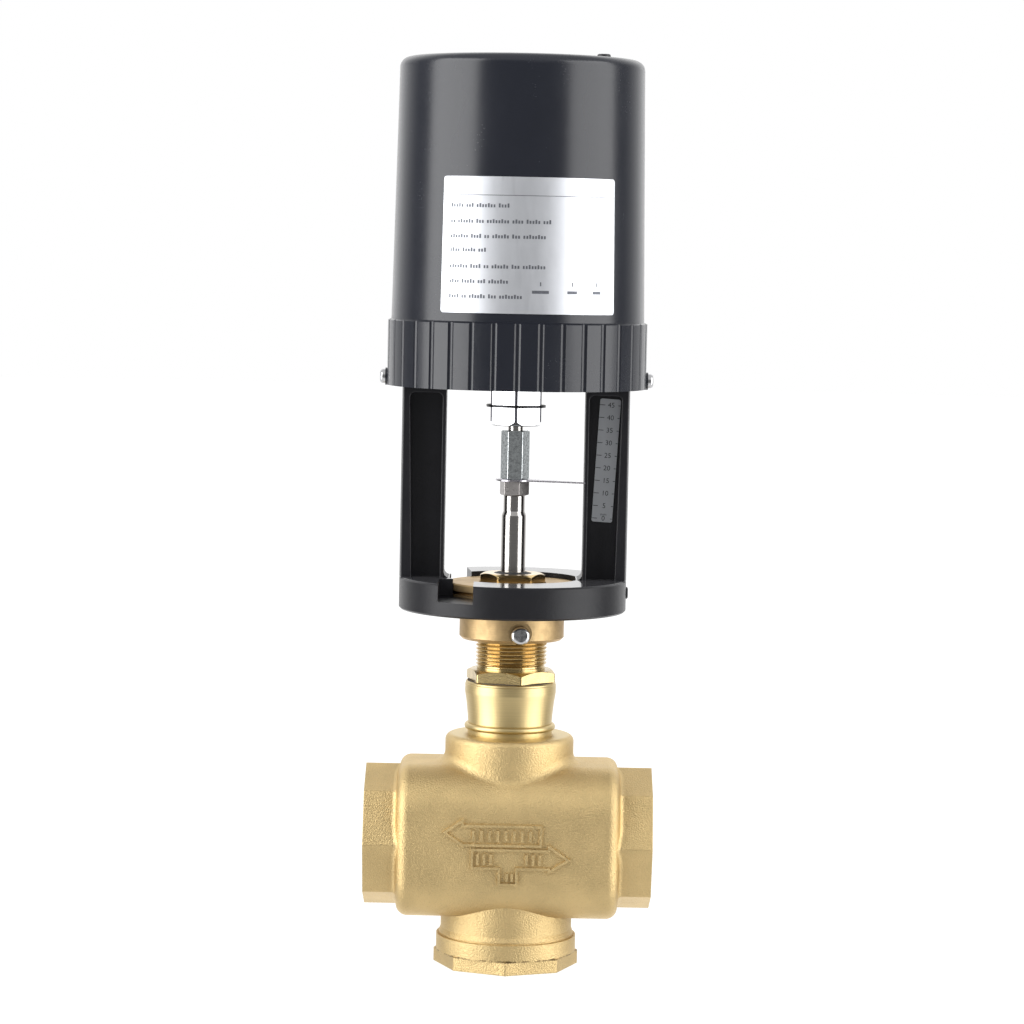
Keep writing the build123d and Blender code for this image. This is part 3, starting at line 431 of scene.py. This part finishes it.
def thread_sleeve(name, place, root_r, crest_r, back_r, pitch, length, fades):
    """A closed right-handed thread along +Z from the origin of place. back_r lies inside the CAD wall."""
    turns = math.ceil(length / pitch) + 1

    def radius_at(height, angle):
        phase = (height / pitch - angle / math.tau) % 1.0
        for (low, low_share), (high, high_share) in zip(THREAD_PROFILE, THREAD_PROFILE[1:]):
            if low <= phase <= high:
                share = low_share + (high_share - low_share) * (phase - low) / (high - low)
                break
        start, end = fades
        room = min(1.0, height / start if start else 1.0, (length - height) / end if end else 1.0)
        return root_r + (crest_r - root_r) * share * room

    mesh = bmesh.new()
    rings = []
    for column in range(THREAD_COLUMNS + 1):
        angle = math.tau * column / THREAD_COLUMNS
        along = Vector((math.cos(angle), math.sin(angle), 0.0))
        row = [along * back_r]
        for turn in range(-1, turns):
            for phase, _ in THREAD_PROFILE[:-1]:
                height = min(max(pitch * (turn + phase + column / THREAD_COLUMNS), 0.0), length)
                row.append(along * radius_at(height, angle) + Vector((0, 0, height)))
        row.append(along * back_r + Vector((0, 0, length)))
        rings.append([mesh.verts.new(place @ point) for point in row])
    join_rings(mesh, rings)
    bmesh.ops.recalc_face_normals(mesh, faces=mesh.faces)
    piece = finish_piece(name, mesh)
    weld(piece)
    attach(piece, "housing")
    return piece


def weld(piece):
    """Joins points that fall together and drops the faces that this leaves without area."""
    mesh = bmesh.new()
    mesh.from_mesh(piece.data)
    bmesh.ops.remove_doubles(mesh, verts=mesh.verts, dist=WELD_DISTANCE)
    bmesh.ops.dissolve_degenerate(mesh, edges=mesh.edges, dist=WELD_DISTANCE)
    bmesh.ops.recalc_face_normals(mesh, faces=mesh.faces)
    mesh.to_mesh(piece.data)
    mesh.free()


PIPE_PITCH = 2.309 * MM       # G 1 1/2
PIPE_ROOT_R = 23.86 * MM
PIPE_CREST_R = 22.45 * MM
PIPE_BACK_R = 24.0 * MM
PIPE_START = 0.9 * MM         # behind the port's face
PIPE_LENGTH = 15.6 * MM
PIPE_FADE = 1.3 * MM          # the thread's height grows from nothing over this length
SIDE_BORE_Z = 0.051
BONNET_PITCH = 1.5 * MM       # 28.4 mm across its crests, a little over M28
BONNET_ROOT_R = 13.34 * MM
BONNET_CREST_R = 14.2 * MM
BONNET_BACK_R = 13.1 * MM
BONNET_FADE = 1.0 * MM
BONNET_LOW_Z = 0.1195


def port_threads():
    """The female pipe threads, which the CAD bores leave plain at their major radius."""
    material = turned_brass("port_thread_brass", THREAD_BRASS, 0.004, (0.16, 0.26))
    mouths = {
        "port_thread_a": ((-PORT_FACE_X, 0, SIDE_BORE_Z), 90),
        "port_thread_ab": ((PORT_FACE_X, 0, SIDE_BORE_Z), -90),
        "port_thread_b": ((0, 0, 0), 0),
    }
    for name, (middle, turn) in mouths.items():
        mouth = Matrix.Translation(middle) @ Matrix.Rotation(math.radians(turn), 4, "Y")
        place = mouth @ Matrix.Translation((0, 0, PIPE_START))
        piece = thread_sleeve(name, place, PIPE_ROOT_R, PIPE_CREST_R, PIPE_BACK_R, PIPE_PITCH, PIPE_LENGTH,
                              (PIPE_FADE, PIPE_FADE))
        assign(piece, material)


def bonnet_thread():
    """The bonnet's thread, in the gap that shows under the yoke's adapter."""
    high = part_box("yoke_adapter")[0].z - 0.05 * MM
    place = Matrix.Translation((0, 0, BONNET_LOW_Z))
    piece = thread_sleeve("bonnet_thread", place, BONNET_ROOT_R, BONNET_CREST_R, BONNET_BACK_R,
                          BONNET_PITCH, high - BONNET_LOW_Z, (BONNET_FADE, 0.0))
    assign(piece, turned_brass("bonnet_thread_brass", THREAD_BRASS, 0.003, (0.16, 0.24)))


# ---- rating label ---------------------------------------------------------------------------

LABEL_LEFT = math.radians(233.7)
LABEL_SWEEP = math.radians(83.5)
LABEL_PROUD = 0.05 * MM       # clears the flat facets of the curved label
PRINT_DEEP = 0.1 * MM         # how far each mark's slab reaches into its plate

# Places on the label are shares across it from its left edge and down it from its top.
LABEL_RULE = (0.004, 0.996, 0.134, 0.1385)       # left, right, top, bottom
LABEL_LINES = (                                  # the middle of each line of print, and where it ends
    (0.215, 0.35), (0.33, 0.61), (0.44, 0.47), (0.54, 0.24), (0.66, 0.485), (0.77, 0.40), (0.88, 0.38))
LABEL_WORDS = (5, 3, 7, 4, 2, 6, 3, 8, 4)        # ticks in each word, over and over
LABEL_MARGIN = 0.052
TICK_PITCH = 0.0155
TICK_WIDTH = 0.62 * TICK_PITCH
TICK_HEIGHT = 0.022
TALL_TICK = TICK_HEIGHT * 1.35                   # every third one
WORD_GAP = 0.8 * TICK_PITCH
TERMINAL_MARKS = ((0.55, 0.045), (0.725, 0.028), (0.875, 0.026))    # middle and half width
TERMINAL_TICK = (0.765, 0.795)                   # top and bottom
TERMINAL_TICK_HALF = 0.003
TERMINAL_BAR = (0.828, 0.850)


def label_surface():
    """The label's outer cone: its lowest and highest z, and the radius at each."""
    low, high = (corner.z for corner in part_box("rating_label"))
    radii = []
    for height in (low, high):
        near = [v.co for v in NODES["rating_label"].data.vertices if abs(v.co.z - height) < 1e-5]
        radii.append(max(math.hypot(co.x, co.y) for co in near))
    return low, high, *radii


def label_point(surface, across, down, proud):
    """A point on the label, from shares across it from the left and down it from the top."""
    low, high, low_r, high_r = surface
    height = high + (low - high) * down
    radius = high_r + (low_r - high_r) * down + proud
    angle = LABEL_LEFT + LABEL_SWEEP * across
    return Vector((radius * math.cos(angle), radius * math.sin(angle), height))


def add_mark(mesh, surface, left, right, top, bottom):
    """A printed bar on the label, a thin closed slab that follows its curve."""
    width = LABEL_SWEEP * surface[2]
    steps = max(1, math.ceil((right - left) * width / (2.0 * MM)))
    rings = []
    for step in range(steps + 1):
        across = left + (right - left) * step / steps
        corners = ((top, LABEL_PROUD), (bottom, LABEL_PROUD), (bottom, -PRINT_DEEP), (top, -PRINT_DEEP))
        rings.append([mesh.verts.new(label_point(surface, across, down, proud)) for down, proud in corners])
    join_rings(mesh, rings)
    mesh.faces.new(list(reversed(rings[0])))
    mesh.faces.new(rings[-1])


def label_print():
    """A rule under the blank head of the label, and plain ticks in groups where its lines of print are."""
    surface = label_surface()
    mesh = bmesh.new()
    add_mark(mesh, surface, *LABEL_RULE)
    word = 0
    for middle, end in LABEL_LINES:
        left = LABEL_MARGIN
        bottom = middle + TICK_HEIGHT / 2
        while left < end - 0.5 * TICK_PITCH:
            for tick in range(LABEL_WORDS[word % len(LABEL_WORDS)]):
                height = TICK_HEIGHT if (tick + word) % 3 else TALL_TICK
                add_mark(mesh, surface, left, left + TICK_WIDTH, bottom - height, bottom)
                left += TICK_PITCH
            left += WORD_GAP
            word += 1
    for middle, half in TERMINAL_MARKS:
        add_mark(mesh, surface, middle - TERMINAL_TICK_HALF, middle + TERMINAL_TICK_HALF, *TERMINAL_TICK)
        add_mark(mesh, surface, middle - half, middle + half, *TERMINAL_BAR)
    bmesh.ops.recalc_face_normals(mesh, faces=mesh.faces)
    piece = finish_piece("label_print", mesh)
    assign(piece, ink("label_ink", (0.10, 0.105, 0.12), metallic=0.6))
    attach(piece, "housing")


# ---- travel scale ---------------------------------------------------------------------------

SCALE_LEAN = math.radians(3.0)
SCALE_HALF_WIDTH = 4.1 * MM
SCALE_ZERO_Z = 0.1792
SCALE_STEP = 5
SCALE_TOP = 45
SCALE_PROUD = 0.012 * MM
LONG_DASH = (-0.98, -0.48)    # shares of the plate's half width
SHORT_DASH = (0.78, 0.98)
DASH_HALF = 0.13 * MM
TEXT_X = 0.45 * MM
NUMBER_SIZE = 2.795 * MM
UNIT_SIZE = 1.6125 * MM
UNIT_RISE = 1.65 * MM         # the unit's place above the 0


def add_slab(mesh, place, left, right, low, high):
    """A thin closed rectangle of print lying on the plate."""
    corners = []
    for proud in (SCALE_PROUD, -PRINT_DEEP):
        for x, z in ((left, low), (right, low), (right, high), (left, high)):
            corners.append(mesh.verts.new(place @ Vector((x, -proud, z))))
    for face in ((0, 1, 2, 3), (7, 6, 5, 4), (0, 4, 5, 1), (1, 5, 6, 2), (2, 6, 7, 3), (3, 7, 4, 0)):
        mesh.faces.new([corners[i] for i in face])


def add_text(mesh, place, text, size, middle_z):
    """A word as solid print, upright on the plate and centred at the given height."""
    curve = bpy.data.curves.new("print_text", "FONT")
    curve.body = text
    curve.size = size
    curve.align_x = "CENTER"
    curve.align_y = "CENTER"
    curve.extrude = SCALE_PROUD
    curve.resolution_u = 3
    source = bpy.data.objects.new("print_text", curve)
    data = bpy.data.meshes.new_from_object(source)
    upright = Matrix.Translation((TEXT_X, 0, middle_z)) @ Matrix.Rotation(math.radians(90), 4, "X")
    data.transform(place @ upright)
    mesh.from_mesh(data)
    bpy.data.meshes.remove(data)
    bpy.data.objects.remove(source)
    bpy.data.curves.remove(curve)


def scale_print():
    """Dashes every 5 mm, the numbers from 0 to 45 and the unit."""
    low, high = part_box("travel_scale")
    centre = (low + high) / 2
    place = Matrix.Translation((centre.x, low.y, centre.z)) @ Matrix.Rotation(SCALE_LEAN, 4, "Y")
    zero = (SCALE_ZERO_Z - centre.z) / math.cos(SCALE_LEAN)
    mesh = bmesh.new()
    for reading in range(0, SCALE_TOP + 1, SCALE_STEP):
        middle = zero + reading * MM
        for left, right in (LONG_DASH, SHORT_DASH):
            add_slab(mesh, place, SCALE_HALF_WIDTH * left, SCALE_HALF_WIDTH * right,
                     middle - DASH_HALF, middle + DASH_HALF)
        add_text(mesh, place, str(reading), NUMBER_SIZE, middle)
    add_text(mesh, place, "mm", UNIT_SIZE, zero + UNIT_RISE)
    bmesh.ops.remove_doubles(mesh, verts=mesh.verts, dist=1e-7)
    piece = finish_piece("scale_print", mesh)
    assign(piece, ink("scale_ink", (0.016, 0.016, 0.018)))
    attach(piece, "housing")


# ---- room, lights and camera ----------------------------------------------------------------

FLOOR_RADIUS = 6.0
FLOOR_Z = -0.0002             # just under the object, so that their faces don't coincide
FLOOR_SEEN = 0.91             # its own light to look at, and as it falls on the object
FLOOR_REFLECTED = 0.35


def white_floor():
    """A large pale disc, mostly self-lit so that only a soft contact shadow shows."""
    mesh = bmesh.new()
    bmesh.ops.create_circle(mesh, cap_ends=True, segments=96, radius=FLOOR_RADIUS)
    floor = finish_piece("floor", mesh)
    floor.location.z = FLOOR_Z
    floor.visible_glossy = False
    made = Recipe("floor_white", (0.22, 0.22, 0.22), roughness=0.9, Specular_IOR_Level=0.0,
                  Emission_Color=(1.0, 1.0, 1.0, 1.0))
    mottle = made.noise(40.0, detail=2.0)
    made.feed("Base Color", made.mix(mottle, (0.21, 0.21, 0.21), (0.23, 0.23, 0.23)))
    seen = made.node("ShaderNodeLightPath").outputs["Is Camera Ray"]
    made.feed("Emission Strength", made.mix(seen, FLOOR_REFLECTED, FLOOR_SEEN))
    assign(floor, made.material)


def white_room():
    """A white backdrop to look at; for reflections, bright behind, below and above and dim in front."""
    world = bpy.data.worlds.new("studio")
    bpy.context.scene.world = world
    world.use_nodes = True
    nodes = world.node_tree.nodes
    links = world.node_tree.links
    background = nodes["Background"]
    background.inputs["Color"].default_value = (1.0, 1.0, 1.0, 1.0)
    direction = nodes.new("ShaderNodeSeparateXYZ")
    links.new(nodes.new("ShaderNodeTexCoord").outputs["Generated"], direction.inputs[0])

    def ramp(value, start, full, low, high):
        made = nodes.new("ShaderNodeMapRange")
        for socket, number in zip(("From Min", "From Max", "To Min", "To Max"), (start, full, low, high)):
            made.inputs[socket].default_value = number
        links.new(value, made.inputs["Value"])
        return made.outputs[0]

    total = ramp(direction.outputs[1], *BACK_SPAN, FRONT_LIGHT, BACK_LIGHT)
    for span, strength in ((LOW_SPAN, LOW_FILL), (HIGH_SPAN, HIGH_FILL)):
        added = nodes.new("ShaderNodeMath")
        links.new(total, added.inputs[0])
        links.new(ramp(direction.outputs[2], *span, 0.0, strength), added.inputs[1])
        total = added.outputs[0]
    seen = nodes.new("ShaderNodeMix")
    seen.data_type = "FLOAT"
    links.new(nodes.new("ShaderNodeLightPath").outputs["Is Camera Ray"], seen.inputs[0])
    links.new(total, seen.inputs[2])
    seen.inputs[3].default_value = 1.0
    links.new(seen.outputs[0], background.inputs["Strength"])


def softboxes():
    """Two tall softboxes beside the object, which draw the upright bands on the cover."""
    aim = Vector(SOFTBOX_AIM)
    for name, side in (("softbox_left", -1), ("softbox_right", 1)):
        light = bpy.data.lights.new(name, "AREA")
        light.shape = "RECTANGLE"
        light.size = SOFTBOX_WIDTH
        light.size_y = SOFTBOX_HEIGHT
        light.energy = SOFTBOX_RADIANCE[name] * math.pi * SOFTBOX_WIDTH * SOFTBOX_HEIGHT
        lamp = bpy.data.objects.new(name, light)
        bpy.context.scene.collection.objects.link(lamp)
        angle = math.radians(SOFTBOX_AZIMUTH[name]) * side
        lamp.location = aim + SOFTBOX_DISTANCE * Vector((math.sin(angle), -math.cos(angle), SOFTBOX_RISE))
        lamp.rotation_euler = (aim - lamp.location).to_track_quat("-Z", "Y").to_euler()


def camera():
    data = bpy.data.cameras.new("camera")
    data.lens = CAMERA_LENS
    data.clip_start = 0.05
    eye = bpy.data.objects.new("camera", data)
    bpy.context.scene.collection.objects.link(eye)
    pitch = Matrix.Rotation(math.radians(90.0 - CAMERA_PITCH), 4, "X")
    roll = Matrix.Rotation(math.radians(CAMERA_ROLL), 4, "Z")
    eye.matrix_world = Matrix.Translation(CAMERA_PLACE) @ pitch @ roll
    bpy.context.scene.camera = eye
    bpy.context.scene.view_settings.view_transform = "Standard"


dress_cad(materials())
port_threads()
bonnet_thread()
label_print()
scale_print()
white_floor()
white_room()
softboxes()
camera()
